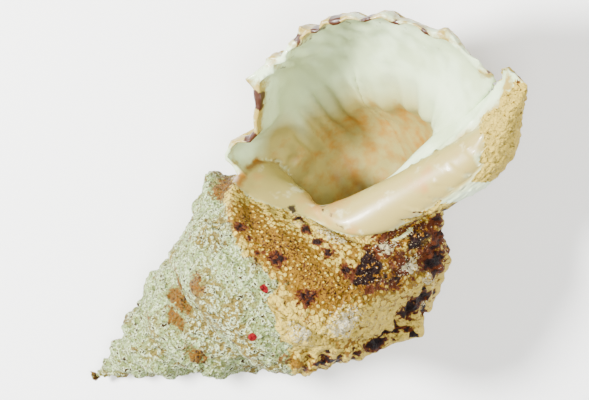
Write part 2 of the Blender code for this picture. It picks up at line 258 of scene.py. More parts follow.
def relief(t, s):
    """Height of knobs, cords, varices and lip scallops over the plain whorl."""
    turn = t * KNOBS_PER_TURN
    wave = 0.5 + 0.5 * np.cos(2.0 * np.pi * turn)
    shoulder = np.exp(-(((s - 0.50) / 0.10) ** 2)) * wave**1.5
    lower = np.exp(-(((s - 0.76) / 0.06) ** 2)) * wave
    size = RADIUS_GROWTH**t
    body = smooth((t + 1.0) / 0.1)
    edge = smooth(s / 0.12) * (body + (1.0 - body) * smooth((1.0 - s) / 0.12))
    away = 1.0 - smooth((s - 1.45) / 0.3)
    cords = CORD * np.cos(2.0 * np.pi * s * 5.0) * smooth((s - 0.45) / 0.1)
    total = SHOULDER_KNOB * shoulder + LOWER_KNOB * lower + cords
    lag = np.interp(s, *zip(*VARIX_LAG))
    for place in VARIX_TURNS:
        ridge = np.exp(-(((t - place - lag) / VARIX_WIDTH) ** 2))
        total = total + VARIX_HEIGHT * ridge * smooth(s / 0.4)
    scallop = LIP_SCALLOP * np.cos(np.pi * SCALLOPS * s) * np.exp(t / 0.02)
    return ((total * size + scallop) * away + swelling(t, s)) * edge


def surface(t, s, lift=0.0, plain=False, lean=0.0):
    """Points of the outer surface at paired t and s, moved out by lift along the leaning normal."""
    t = np.asarray(t, float)
    s = np.asarray(s, float)
    values, back = np.unique(t, return_inverse=True)
    table = controls(values)
    profile = np.einsum("nk,nkc->nc", weights(s), table[back])
    ahead = np.einsum("nk,nkc->nc", weights(np.minimum(s + 0.01, 2.0)), table[back])
    behind = np.einsum("nk,nkc->nc", weights(np.maximum(s - 0.01, 0.0)), table[back])
    along = ahead - behind
    length = np.maximum(np.hypot(along[:, 0], along[:, 1]), 1e-9)
    normal = np.stack([along[:, 1], -along[:, 0]], 1) / length[:, None]
    height = np.zeros_like(t) if plain else relief(t, s)
    way = (1.0 - lean) * normal + lean * np.array(SHIELD_WAY)
    profile = profile + way * (height + lift)[:, None]
    return turned(t, profile)


def turned(t, profile):
    """Half-plane points (radius, height) swung to the angle of t, with the bend of the canal."""
    angle = 2.0 * np.pi * np.asarray(t)
    radius = profile[:, 0]
    height = profile[:, 1]
    bend = np.maximum((height - CANAL_BEND_FROM) / (1.0 - CANAL_BEND_FROM), 0.0) ** 2
    x = radius * np.cos(angle) + CANAL_BEND[0] * bend
    y = radius * np.sin(angle) + CANAL_BEND[1] * bend
    return np.stack([x, y, height], 1)


def grid_mesh(bm, columns, rows, place):
    """Adds a grid whose vertices go where place puts each (column share, row share)."""
    made = bmesh.ops.create_grid(bm, x_segments=columns, y_segments=rows, size=0.5)
    verts = made["verts"]
    shares = np.array([v.co[:2] for v in verts]) + 0.5
    for vert, point in zip(verts, place(shares[:, 0], shares[:, 1])):
        vert.co = point
    return verts


HOLLOW_POINTS = 17


def hollow_outline(t):
    """Closed control outline of the hollow at t: along the whorl's wall, then back up the columella."""
    now = controls([t])[0]
    before = controls([t - 1.0])[0]
    size = RADIUS_GROWTH**t
    wall = WALL * size
    lip = smooth((t + 0.06) / 0.06)
    outer_wall = wall + lip * (LIP_WALL - wall)
    opening = smooth((t + 0.13) / 0.13)
    stem = max(before[10, 0], 0.020)
    closed_end = np.array([0.5 * (now[9, 0] + stem), now[9, 1] - 1.2 * wall])
    canal_side = closed_end + opening * (now[10] - closed_end)
    canal_end = closed_end + opening * (np.array([0.032, 0.975]) - closed_end)
    side = np.array([stem - 0.004 * opening, 0.5 * (canal_end[1] + before[10, 1])])
    outer = [now[i] for i in range(1, 10)] + [canal_side]
    inner = [canal_end, side, before[10], before[9], before[8], before[7], now[0]]
    points = np.array(outer + inner)
    thin = wall * (1.0 - 0.5 * opening)
    inner_walls = [0.4 * wall] * 2 + [thin] * 2 + [wall] * (len(inner) - 4)
    widths = np.array([outer_wall] * len(outer) + inner_walls)
    along = np.roll(points, -1, 0) - np.roll(points, 1, 0)
    along /= np.maximum(np.hypot(along[:, 0], along[:, 1]), 1e-9)[:, None]
    inward = np.stack([-along[:, 1], along[:, 0]], 1)
    area = np.sum(points[:, 0] * np.roll(points[:, 1], -1) - points[:, 1] * np.roll(points[:, 0], -1))
    return points + inward * (math.copysign(1.0, area) * widths)[:, None]


def inner_relief(t, shares):
    """How far the hollow moves out where it follows the whorl, at shares 0 to 1 round it."""
    place = shares * HOLLOW_POINTS
    s = np.interp(place, range(9), PLACES[1:10])
    s = np.where(place > HOLLOW_POINTS - 1, (place - HOLLOW_POINTS + 1) * PLACES[1], s)
    near = np.maximum(1.0 - smooth(place - 8.0), smooth(place - HOLLOW_POINTS + 1))
    waves = np.cos(np.pi * SCALLOPS * s)
    rib = LIP_RIB * np.exp(-(((t - LIP_RIB_AT) / LIP_RIB_TURNS) ** 2)) * (1.0 + 0.25 * waves)
    ripple = 0.8 * LIP_SCALLOP * waves * math.exp(min(t, 0.0) / 0.04)
    return (np.minimum(swelling(t, s), 0.0) + ripple - rib) * near


def closed_curve(points, shares):
    """Catmull-Rom curve through a ring of points at shares 0 to 1 of the way round."""
    count = len(points)
    place = shares * count
    start = np.floor(place).astype(int)
    f = (place - start)[:, None]
    a, b, c, d = (points[(start + k) % count] for k in (-1, 0, 1, 2))
    bow = 2.0 * a - 5.0 * b + 4.0 * c - d
    twist = 3.0 * b - a - 3.0 * c + d
    return b + 0.5 * ((c - a) * f + bow * f**2 + twist * f**3)


# Camera of the photograph: its place, and the directions of the picture's right and up
CAMERA_PLACE = (0.2813, 0.0822, 1.2187)
CAMERA_RIGHT = (0.8192, -0.5517, -0.1567)
CAMERA_UP = (0.5261, 0.8317, -0.1775)
CAMERA_LENS = 195.7

# Which surface a point of the shell belongs to
OUTSIDE, HOLLOW, INNER_LIP = 0, 1, 2

# Longest edges of the finished mesh, in metres
OUTSIDE_EDGE = 0.00150
INSIDE_EDGE = 0.00260


def rgb(code):
    """sRGB hex to the linear colour that Blender's sockets take."""
    values = [int(code[i : i + 2], 16) / 255.0 for i in (1, 3, 5)]
    linear = [v / 12.92 if v <= 0.04045 else ((v + 0.055) / 1.055) ** 2.4 for v in values]
    return (*linear, 1.0)


def whorl_place(u, v):
    columns = int(round(-FIRST_TURN * STEPS_PER_TURN))
    t = np.round(u * columns) / STEPS_PER_TURN + FIRST_TURN
    return surface(t, v) * LENGTH, t, v


def base_place(u, v):
    t = np.round(u * STEPS_PER_TURN) / STEPS_PER_TURN - 1.0
    return surface(t, 1.0 + v) * LENGTH, t, 1.0 + v


def hollow_place(u, v):
    points = np.empty((len(u), 3))
    for share in np.unique(u):
        here = u == share
        t = CAVITY_FROM + (CAVITY_TO - CAVITY_FROM) * share
        ring = v[here] % 1.0
        outline = hollow_outline(t)
        profile = closed_curve(outline, ring)
        ahead = closed_curve(outline, (ring + 0.002) % 1.0)
        along = ahead - closed_curve(outline, (ring - 0.002) % 1.0)
        along /= np.maximum(np.hypot(along[:, 0], along[:, 1]), 1e-9)[:, None]
        outward = np.stack([along[:, 1], -along[:, 0]], 1)
        profile = profile + outward * inner_relief(t, ring)[:, None]
        points[here] = turned(np.full(here.sum(), t), profile)
    return points * LENGTH, CAVITY_FROM + (CAVITY_TO - CAVITY_FROM) * u, v


def shield_place(u, v):
    rows, edges, crests, rims = np.array(SHIELD).T
    s = rows[0] + (rows[-1] - rows[0]) * u
    edge = np.interp(s, rows, edges)
    ring = v % 1.0
    top = ring < 0.5
    across = np.where(top, 2.0 * ring, 2.0 - 2.0 * ring)
    t = SHIELD_FROM + (edge - SHIELD_FROM) * across
    crest = np.interp(s, rows, crests) * smooth(across / SHIELD_CREST)
    fall = smooth((across - SHIELD_CREST) / (1.0 - SHIELD_CREST))
    height = crest + fall * (np.interp(s, rows, rims) - crest)
    ends = smooth((s - rows[0]) / 0.10) * smooth((rows[-1] - s) / 0.10)
    lift = np.where(top & (across > 0.0), height * (0.15 + 0.85 * ends), -SHIELD_ROOT)
    return surface(t, s, lift=lift, plain=True, lean=SHIELD_LEAN) * LENGTH, t, s


# Each plain surface: its shape, the columns and rows of its grid, and what it is
SURFACES = (
    (whorl_place, int(round(-FIRST_TURN * STEPS_PER_TURN)), WHORL_STEPS, OUTSIDE),
    (base_place, STEPS_PER_TURN, BASE_STEPS, OUTSIDE),
    (hollow_place, int(round((CAVITY_TO - CAVITY_FROM) * HOLLOW_STEPS_PER_TURN)), HOLLOW_STEPS, HOLLOW),
    (shield_place, SHIELD_STEPS, SHIELD_RING, INNER_LIP),
)


def fill_loops(bm, edges):
    """Fills each open loop with a lid that faces along the loop's own normal."""
    left = set(edges)
    while left:
        loop = [left.pop()]
        ends = set(loop[0].verts)
        front = list(ends)
        while front:
            vert = front.pop()
            for edge in vert.link_edges:
                if edge in left:
                    left.discard(edge)
                    loop.append(edge)
                    other = edge.other_vert(vert)
                    ends.add(other)
                    front.append(other)
        points = np.array([v.co for v in ends])
        axes = np.linalg.svd(points - points.mean(0))[2]
        bmesh.ops.triangle_fill(bm, edges=loop, use_beauty=True, normal=axes[2])


def closed_solid(name, surfaces):
    """One closed object from the grids of the given surfaces."""
    bm = bmesh.new()
    for place, columns, rows, _ in surfaces:
        grid_mesh(bm, columns, rows, lambda u, v, place=place: place(u, v)[0])
    bmesh.ops.remove_doubles(bm, verts=bm.verts, dist=3e-7)
    bmesh.ops.dissolve_degenerate(bm, edges=bm.edges, dist=1e-8)
    edges = [edge for edge in bm.edges if edge.is_boundary]
    if edges:
        fill_loops(bm, edges)
    bmesh.ops.recalc_face_normals(bm, faces=bm.faces)
    bmesh.ops.triangulate(bm, faces=bm.faces)
    if bm.calc_volume(signed=True) < 0.0:
        bmesh.ops.reverse_faces(bm, faces=bm.faces)
    mesh = bpy.data.meshes.new(name)
    bm.to_mesh(mesh)
    bm.free()
    shape = bpy.data.objects.new(name, mesh)
    bpy.context.scene.collection.objects.link(shape)
    return shape


def combine(body, operation, other):
    """Adds a boolean modifier that joins or cuts the body with the other shape."""
    step = body.modifiers.new(other.name, "BOOLEAN")
    step.operation = operation
    step.solver = "MANIFOLD"
    step.object = other


def resting_turn():
    """Turn from the shell's own frame to the way it rests."""
    up = Vector(REST_UP).normalized()
    ahead = Vector((0.0, 0.0, 1.0))
    ahead = (ahead - ahead.dot(up) * up).normalized()
    return Matrix((ahead, up.cross(ahead), up))


def sample_surfaces():
    """Points all over the plain surfaces: turn, row, kind, and the steps to the next ones."""
    found = []
    for place, columns, rows, kind in SURFACES:
        across, down = np.linspace(0.0, 1.0, columns + 1), np.linspace(0.0, 1.0, rows + 1)
        u, v = np.meshgrid(across, down, indexing="ij")
        points, turn, row = place(u.ravel(), v.ravel())
        shape = (columns + 1, rows + 1)
        points = points.reshape(*shape, 3)
        turn = np.broadcast_to(turn, u.size).reshape(shape)
        row = np.broadcast_to(row, u.size).reshape(shape)
        parts = (points, *np.gradient(points, axis=(0, 1)), turn, row)
        parts += (np.gradient(turn, axis=0), np.gradient(row, axis=1), np.full(shape, kind))
        found.append([part.reshape(u.size, -1) for part in parts])
    return [np.concatenate(column) for column in zip(*found)]


def spiral_places(points, normals):
    """Turn, row and kind of the surface under each point, from near samples that face as it does."""
    centres, along, across, turn, row, turn_step, row_step, kind = sample_surfaces()
    facing = np.cross(along, across)
    facing /= np.maximum(np.linalg.norm(facing, axis=1), 1e-12)[:, None]
    tree = kdtree.KDTree(len(centres))
    for index, centre in enumerate(centres):
        tree.insert(centre, index)
    tree.balance()
    close = np.array([[index for _, index, _ in tree.find_n(point, NEAREST)] for point in points])
    agree = (facing[close] * normals[:, None]).sum(2)
    for each in (OUTSIDE, HOLLOW, INNER_LIP):
        first = kind[close[:, 0], 0] == each
        if np.median(agree[first, 0]) < 0.0:
            agree[kind[close][:, :, 0] == each] *= -1.0
    pick = np.argmax(agree > 0.35, axis=1)
    near = close[np.arange(len(points)), pick]
    off = points - centres[near]
    a = along[near]
    b = across[near]
    aa = (a * a).sum(1)
    bb = (b * b).sum(1)
    ab = (a * b).sum(1)
    oa = (off * a).sum(1)
    ob = (off * b).sum(1)
    area = np.maximum(aa * bb - ab * ab, 1e-18)
    x = np.clip((oa * bb - ob * ab) / area, -1.0, 1.0)
    y = np.clip((ob * aa - oa * ab) / area, -1.0, 1.0)
    kinds = kind[near, 0]
    plain = kinds != INNER_LIP
    turns = turn[near, 0] + np.where(plain, x * turn_step[near, 0], 0.0)
    rows = row[near, 0] + np.where(plain, y * row_step[near, 0], 0.0)
    return turns, rows, kinds


# How many samples are looked at for each point of the mesh
NEAREST = 8


def mesh_places(bm):
    """Points of the mesh with their normals, turns, rows and kinds."""
    bm.normal_update()
    points = np.array([v.co for v in bm.verts])
    normals = np.array([v.normal for v in bm.verts])
    return (points, normals, *spiral_places(points, normals))


def refine(bm, passes=2):
    """Halves the edges that are longer than the relief needs."""
    for _ in range(passes):
        kinds = mesh_places(bm)[4]
        long = []
        for edge in bm.edges:
            a, b = edge.verts
            outside = kinds[a.index] == OUTSIDE or kinds[b.index] == OUTSIDE
            if edge.calc_length() > (OUTSIDE_EDGE if outside else INSIDE_EDGE):
                long.append(edge)
        bmesh.ops.subdivide_edges(bm, edges=long, cuts=1, use_grid_fill=True)
        bmesh.ops.triangulate(bm, faces=[f for f in bm.faces if len(f.verts) > 3])
        bm.verts.index_update()


def plain_shell():
    """The shell without its fine relief, as a bmesh in the shell's own frame."""
    body = closed_solid("body", SURFACES[:2])
    inside = closed_solid("hollow", SURFACES[2:3])
    inner_lip = closed_solid("inner_lip", SURFACES[3:])
    combine(body, "DIFFERENCE", inside)
    combine(body, "UNION", inner_lip)
    bpy.context.view_layer.update()
    graph = bpy.context.evaluated_depsgraph_get()
    mesh = bpy.data.meshes.new_from_object(body.evaluated_get(graph))
    for shape in (body, inside, inner_lip):
        bpy.data.objects.remove(shape)
    bm = bmesh.new()
    bm.from_mesh(mesh)
    bpy.data.meshes.remove(mesh)
    return bm


def noise_of(points, size, octaves=3, shift=0.0):
    """Fractal noise, about -1 to 1, whose coarsest grain is size metres."""
    offset = Vector((shift, 1.7 * shift, -shift))
    return np.array([noise.fractal(Vector(p) / size + offset, 1.0, 2.0, octaves) for p in points])


def grains_of(points, size, shift=0.0):
    """Rounded grains of about size metres: 1 at the middle of each and 0 where they meet."""
    offset = Vector((shift, -shift, 2.3 * shift))
    near = np.array([noise.voronoi(Vector(p) / size + offset)[0][:2] for p in points])
    return np.clip((near[:, 1] - near[:, 0]) * 1.6, 0.0, 1.0)


# Dark marks: turn, row, half length along the whorl and across it in millimetres, strength
MARKS = (
    (-0.945, 1.315, 2.4, 1.6, 1.0),
    (-0.885, 1.333, 1.9, 1.8, 1.0),
    (-0.833, 1.340, 2.6, 1.9, 1.0),
    (-0.783, 1.337, 1.9, 1.9, 1.0),
    (-0.742, 1.325, 2.0, 2.2, 1.0),
    (-0.683, 1.283, 2.4, 2.6, 1.0),
    (-0.867, 1.033, 1.9, 1.9, 1.0),
    (-0.844, 1.060, 1.8, 1.6, 0.8),
    (-0.813, 1.067, 1.5, 1.5, 0.9),
    (-0.790, 1.118, 3.6, 2.2, 1.0),
    (-0.706, 1.090, 3.6, 2.6, 1.0),
    (-0.617, 0.662, 3.0, 1.3, 1.1),
    (-0.608, 0.714, 4.0, 1.5, 1.2),
    (-0.581, 0.790, 2.6, 1.5, 0.9),
    (-0.550, 0.826, 5.0, 2.2, 1.3),
    (-0.527, 0.925, 5.5, 2.4, 1.3),
    (-0.502, 1.065, 4.6, 2.4, 1.2),
    (-0.487, 1.100, 3.6, 1.8, 1.2),
    (-0.476, 1.205, 3.2, 1.5, 0.9),
    (-0.470, 1.255, 4.8, 2.0, 1.2),
    (-0.452, 1.312, 3.8, 1.5, 1.1),
    (-0.438, 1.362, 3.2, 1.4, 1.1),
    (-0.420, 1.440, 2.8, 1.5, 1.0),
    (-0.663, 0.607, 1.6, 1.2, 0.8),
    (-1.093, 1.110, 1.2, 0.9, 0.7),
    (-1.098, 1.267, 1.6, 0.9, 0.8),
    (-1.068, 1.333, 1.6, 0.9, 0.8),
    (-1.023, 1.450, 2.2, 1.2, 1.1),
    (-0.960, 1.567, 1.8, 0.8, 0.8),
    (-0.902, 1.550, 1.6, 0.8, 0.8),
    (-0.864, 1.567, 1.6, 0.8, 0.8),
    (-0.788, 1.550, 1.8, 0.9, 0.8),
)

# Ochre stains, written as the dark marks are
STAINS = (
    (-0.960, 0.900, 5.0, 4.0, 0.9),
    (-0.990, 0.990, 7.0, 5.0, 1.0),
    (-0.878, 1.085, 9.0, 5.0, 1.0),
    (-0.820, 1.150, 9.0, 6.0, 1.0),
    (-0.795, 1.194, 9.0, 6.0, 1.0),
    (-0.740, 1.180, 9.0, 6.0, 1.0),
    (-0.687, 1.170, 9.0, 6.0, 1.0),
    (-0.640, 1.220, 8.0, 5.0, 0.8),
    (-0.760, 1.420, 7.0, 4.0, 0.6),
    (-0.700, 1.430, 6.0, 4.0, 0.6),
    (-0.863, 0.071, 4.0, 3.0, 1.0),
    (-0.813, 0.530, 5.0, 4.0, 0.8),
    (-1.846, 0.910, 3.5, 2.5, 1.1),
    (-1.817, 0.960, 4.0, 2.5, 1.1),
    (-1.796, 0.767, 5.0, 3.0, 1.0),
    (-1.700, 0.643, 5.0, 3.0, 0.8),
    (-1.825, 0.393, 3.0, 3.0, 0.7),
    (-0.640, 0.600, 9.0, 4.0, 0.7),
    (-0.600, 0.900, 9.0, 6.0, 0.6),
    (-0.560, 1.350, 14.0, 9.0, 0.8),
)

# Lumps of limy growth on the whorl, written as the marks are, with their height in millimetres
LUMPS = (
    (-0.633, 1.045, 8.5, 8.5, 2.2),
    (-0.679, 0.830, 9.0, 8.0, 1.6),
    (-0.715, 0.700, 7.0, 6.0, 1.2),
    (-0.640, 0.560, 8.0, 6.0, 1.4),
    (-0.495, 0.890, 4.0, 4.0, 0.8),
    (-0.600, 1.250, 7.0, 5.0, 1.0),
    (-0.530, 1.180, 6.0, 5.0, 1.2),
    (-0.870, 0.700, 9.0, 8.0, 1.2),
    (-1.640, 0.500, 6.0, 6.0, 1.2),
    (-1.800, 0.250, 6.0, 5.0, 1.2),
)

# Red foraminifera that settled on the crust, written as the marks are
FORAMS = (
    (-0.760, 0.985, 1.6, 1.5, 1.0),
    (-0.714, 0.612, 1.4, 1.3, 1.0),
)

# Foam-like patches of white lime, written as the marks are
FOAMS = (
    (-0.596, 1.451, 4.0, 3.0, 1.0),
    (-0.525, 1.300, 4.0, 3.0, 1.0),
    (-0.483, 1.200, 3.0, 3.0, 1.0),
    (-0.481, 1.091, 3.0, 3.0, 1.0),
    (-0.783, 1.433, 7.0, 3.0, 0.9),
    (-0.633, 1.060, 5.0, 4.5, 1.1),
    (-0.679, 0.835, 5.0, 4.0, 1.0),
    (-0.900, 1.330, 7.0, 2.5, 0.8),
)

# Length of a row from the suture to the base at the lip, and the spiral cords and beads on it
ROW_LENGTH = 0.085
CORDS = 15.0
BEADS_PER_TURN = 90.0

# Ribs to a turn across the varix, and how far a rib leans back from row to row
RIBS = 44.0
RIB_LEAN = 0.12

# Where the crust ends: rows with the turn it reaches, and turns with the row it reaches
CRUST_EDGE_ROWS = (0.0, 0.50, 0.65, 0.75, 0.85, 1.10)
CRUST_EDGE_TURNS = (-0.60, -0.63, -0.665, -0.69, -0.75, -0.747)
CRUST_END_TURNS = (-1.0, -0.90, -0.87, -0.79, -0.74)
CRUST_END_ROWS = (0.97, 0.95, 0.94, 1.065, 1.08)

# Crest of the varix and lower edge of the glaze on the columella, as rows and turns
VARIX_ROWS = (0.45, 0.60, 0.77, 0.85, 1.05, 1.28, 1.45)
VARIX_CREST = (-0.646, -0.625, -0.600, -0.530, -0.487, -0.448, -0.410)
GLAZE_TURNS = (-1.0, -0.93, -0.80, -0.746, -0.682, -0.634)
GLAZE_ROWS = (1.825, 1.822, 1.819, 1.809, 1.786, 1.758)

# Heights of the fine relief and size of a granule, in metres
GRANULE = 0.0021
CORD_RISE = 0.00030
STRONG_CORD_RISE = 0.00060
RIB_RISE = 0.0008
GRANULE_RISE = 0.00026
GRAIN_RISE = 0.00030
FORAM_RISE = 0.0009


def spots(places, turns, rows, radii):
    """Highest of the bells that a table of places asks for, at each point."""
    highest = np.zeros(len(turns))
    for turn, row, along, across, strength in places:
        a = (turns - turn) * 2.0 * np.pi * radii / (along * 1e-3)
        b = (rows - row) * ROW_LENGTH * RADIUS_GROWTH**turn / (across * 1e-3)
        highest = np.maximum(highest, strength * np.exp(-0.5 * (a * a + b * b)))
    return highest


def ribs(turns, rows, rough):
    """Waves of the ribs across the varix, -1 to 1."""
    return np.cos(2.0 * np.pi * RIBS * (turns + RIB_LEAN * rows) + 0.8 * rough)


def sheet_masks(points, turns, rows, kinds):
    """How much of each finish there is at every point, 0 to 1."""
    radii = np.hypot(points[:, 0], points[:, 1])
    outside = kinds == OUTSIDE
    rough = noise_of(points, 0.012, 4)
    fine = noise_of(points, 0.0035, 3, 5.0)
    masks = {}
    edge_turn = np.interp(rows, CRUST_EDGE_ROWS, CRUST_EDGE_TURNS)
    edge_row = np.interp(turns, CRUST_END_TURNS, CRUST_END_ROWS)
    inside = np.minimum((edge_turn - turns) * 0.25, (edge_row - rows) * 0.066) / 0.004
    crust = smooth(0.5 + 0.5 * (inside + 1.1 * rough + 0.9 * fine))
    crust = np.where(turns < -1.0, 1.0, crust)
    masks["crust"] = np.where(outside | (turns < -1.6), crust, 0.0)
    masks["crust"] = np.where(points[:, 2] < 0.03, 1.0, masks["crust"])
    masks["foam"] = np.where(outside, spots(FOAMS, turns, rows, radii), 0.0)
    masks["flange"] = np.where(kinds == INNER_LIP, smooth((1.065 - rows) / 0.03), 0.0)
    masks["stain"] = np.where(outside, spots(STAINS, turns, rows, radii), 0.0)
    masks["mark"] = spots(MARKS, turns, rows, radii) * (kinds != HOLLOW)
    masks["foram"] = np.where(outside, spots(FORAMS, turns, rows, radii), 0.0)
    front = smooth((turns + 0.70) / 0.05) * smooth((-0.37 - turns) / 0.05)
    front = front * smooth((rows - 1.12) / 0.12) * smooth((1.72 - rows) / 0.06)
    masks["patch"] = np.where(outside, front, 0.0)
    masks["lump"] = np.where(outside, spots(LUMPS, turns, rows, radii), 0.0)
    ridge = np.interp(rows, VARIX_ROWS, VARIX_CREST)
    varix = smooth((turns - ridge + 0.052) / 0.020) * smooth((ridge + 0.06 - turns) / 0.03)
    varix = varix * smooth((rows - 0.30) / 0.08) * smooth((1.50 - rows) / 0.08)
    masks["varix"] = np.where(outside, varix * (1.0 - masks["crust"]), 0.0)
    between = smooth(0.25 - ribs(turns, rows, rough))
    masks["groove"] = masks["varix"] * between * smooth(0.5 + 1.2 * fine)
    glaze_row = np.interp(turns, GLAZE_TURNS, GLAZE_ROWS)
    columella = (kinds != HOLLOW) & (rows > 1.70) & (turns > -1.04) & (turns < -0.45)
    masks["glaze"] = np.where(columella, smooth(0.5 + (glaze_row - rows) / 0.02), kinds != OUTSIDE)
    masks["glaze"] = np.where(outside & ~columella, smooth((turns + 0.020) / 0.012), masks["glaze"])
    masks["canal"] = smooth((rows - 1.68) / 0.06) * (kinds != HOLLOW)
    back = smooth((turns + 0.42) / 0.06)
    masks["back"] = np.where(outside, back, 0.0)
    place = rows * HOLLOW_POINTS
    hollow = kinds == HOLLOW
    far = smooth((-turns - 0.07) / 0.10)
    near_canal = smooth((place - 6.0) / 2.0) * (1.0 - smooth((place - 11.5) / 1.0))
    from_suture = np.minimum(place, HOLLOW_POINTS - place)
    suture_side = smooth((1.6 - from_suture) / 1.2) * smooth((-turns - 0.03) / 0.06)
    deep = np.maximum(far * (1.0 - 0.6 * near_canal), 0.8 * suture_side)
    masks["deep"] = np.where(hollow, deep, 0.0)
    lip_row = np.where(hollow, np.interp(place, range(9), PLACES[1:10]), rows)
    notch = smooth(0.15 - np.cos(np.pi * SCALLOPS * lip_row))
    notch = notch * np.exp(np.minimum(turns, 0.0) / 0.020)
    masks["notch"] = notch * smooth(0.5 + 1.5 * rough) * (lip_row < 1.62) * (kinds != INNER_LIP)
    masks["lip"] = np.where(kinds == INNER_LIP, 1.0, 0.0)
    masks["lip_row"] = lip_row
    rim = smooth((turns + 0.030) / 0.022) * smooth(0.75 + rough)
    masks["rim"] = np.where(kinds == INNER_LIP, 0.0, rim)
    return masks, rough, fine


def carved(points, normals, turns, rows, kinds, masks, rough, fine):
    """The points moved along their normals by the fine relief."""
    outside = kinds == OUTSIDE
    size = RADIUS_GROWTH**turns
    grains = grains_of(points, GRANULE)
    big = noise_of(points, 0.020, 2, 11.0)
    crust = masks["crust"]
    bare = np.where(outside, 1.0 - crust, 0.0)
    strong = np.maximum(masks["patch"], masks["varix"])
    cord = np.cos(2.0 * np.pi * rows * CORDS)
    cord = cord * smooth((rows - 0.40) / 0.1) * smooth((turns + 1.0) / 0.05)
    beads = 0.7 + 0.3 * np.cos(2.0 * np.pi * turns * BEADS_PER_TURN)
    rise = CORD_RISE + STRONG_CORD_RISE * strong * (1.0 - masks["varix"])
    height = bare * rise * cord * beads
    height = height + RIB_RISE * masks["varix"] * ribs(turns, rows, rough)
    height = height + bare * (GRANULE_RISE * grains * (0.4 + masks["stain"]) + GRAIN_RISE * fine)
    nodules = 0.00060 * grains + 0.0011 * rough + 0.0008 * fine - 0.0004
    height = height + crust * nodules * np.clip(size * 2.4, 0.40, 1.0)
    lump = masks["lump"]
    height = height + 0.001 * lump * (1.0 + 0.45 * (grains - 0.5) + 0.4 * fine)
    height = height + FORAM_RISE * masks["foram"] + masks["foam"] * (0.0004 + 0.0007 * grains)
    height = height + masks["canal"] * (0.00045 * grains + 0.0004 * fine)
    height = np.where(outside, height * smooth((1.97 - rows) / 0.05), height)
    hollow = kinds == HOLLOW
    ripple = 0.00016 * np.sin(2.0 * np.pi * (turns * 26.0 + 0.6 * big))
    scallop = np.cos(np.pi * SCALLOPS * masks["lip_row"])
    thick = 0.0013 * np.exp(-(((turns + 0.10 + 0.010 * scallop) / 0.022) ** 2))
    thick = thick + 0.0008 * np.exp(-(((turns + 0.045 + 0.006 * scallop) / 0.010) ** 2))
    spiral = 0.00035 * scallop * smooth(-turns / 0.05)
    inner = ripple * smooth(-turns / 0.05) + 0.00030 * big + thick + spiral
    height = np.where(hollow, inner, height)
    height = np.where(kinds == INNER_LIP, 0.00035 * big + 0.00008 * rough, height)
    return points + normals * height[:, None]


def blurred(values, ends, passes):
    """Values at the vertices averaged along the edges."""
    values = np.asarray(values, float)
    count = np.bincount(ends.ravel(), minlength=len(values))
    for _ in range(passes):
        total = np.bincount(ends[:, 0], values[ends[:, 1]], len(values))
        total = total + np.bincount(ends[:, 1], values[ends[:, 0]], len(values))
        values = 0.5 * values + 0.5 * total / count
    return values


# Where the parietal wall folds into the columella, in the shell's own frame, and how many times
# the inner lip, the rims and this fold are smoothed
FOLD = (0.0180, -0.0080, 0.1290)
FOLD_RADIUS = 0.018
LIP_PASSES = 4
RIM_PASSES = 1
FOLD_PASSES = 30


def relax(bm, verts, passes):
    """Moves vertices towards the middle of their neighbours."""
    for _ in range(passes):
        bmesh.ops.smooth_vert(
            bm, verts=verts, factor=0.5, use_axis_x=True, use_axis_y=True, use_axis_z=True
        )


def soften(bm, kinds):
    """Rounds the rims between surfaces and the folds of the inner lip."""

    def is_rim(vert):
        own = kinds[vert.index]
        return any(kinds[e.other_vert(vert).index] != own for e in vert.link_edges)

    rim = [v for v in bm.verts if is_rim(v)]
    near = set(rim)
    for vert in rim:
        near.update(e.other_vert(vert) for e in vert.link_edges)
    relax(bm, [v for v in bm.verts if kinds[v.index] == INNER_LIP], LIP_PASSES)
    relax(bm, list(near), RIM_PASSES)
    middle = Vector(FOLD)
    relax(bm, [v for v in bm.verts if (v.co - middle).length < FOLD_RADIUS], FOLD_PASSES)


def add(tree, kind, settings=(), inputs=()):
    """Adds a node with its settings, and its inputs as values or as the sockets that feed them."""
    node = tree.nodes.new(kind)
    for name, value in dict(settings).items():
        setattr(node, name, value)
    for name, value in dict(inputs).items():
        if isinstance(value, bpy.types.NodeSocket):
            tree.links.new(value, node.inputs[name])
        else:
            node.inputs[name].default_value = value
    return node


def new_material(name):
    """A material with an empty node tree, its tree and its shader."""
    material = bpy.data.materials.new(name)
    material.use_nodes = True
    tree = material.node_tree
    tree.nodes.clear()
    shader = add(tree, "ShaderNodeBsdfPrincipled")
    add(tree, "ShaderNodeOutputMaterial", inputs={"Surface": shader.outputs[0]})
    return material, tree, shader


# Patterns of the materials: size of a feature in millimetres and levels of detail. Dust and grain
# are drawn coarser than the real grain of the lime, so that they show at this distance.
PATTERNS = (
    ("dust", 0.7143, 2.0),
    ("grain", 1.9231, 4.0),
    ("patch", 6.6667, 4.0),
    ("cloud", 22.222, 3.0),
)
CELL_SIZE = 1.7857


def grounds(tree):
    """Noises and grains in the material's own object coordinates, each by its name."""
    place = add(tree, "ShaderNodeTexCoord").outputs["Object"]
    found = {}
    for name, size, detail in PATTERNS:
        inputs = {"Vector": place, "Scale": 1000.0 / size, "Detail": detail, "Roughness": 0.6}
        found[name] = add(tree, "ShaderNodeTexNoise", inputs=inputs).outputs[0]
    cells = add(tree, "ShaderNodeTexVoronoi", inputs={"Vector": place, "Scale": 1000.0 / CELL_SIZE})
    found["cell"] = cells.outputs["Distance"]
    return found


def loosened(tree, amount, value, spread):
    """The amount of a mask, frayed by a noise."""
    loose = add(tree, "ShaderNodeMath", {"operation": "SUBTRACT"}, {0: value, 1: 0.5}).outputs[0]
    inputs = {0: loose, 1: spread, 2: amount}
    return add(tree, "ShaderNodeMath", {"operation": "MULTIPLY_ADD"}, inputs).outputs[0]


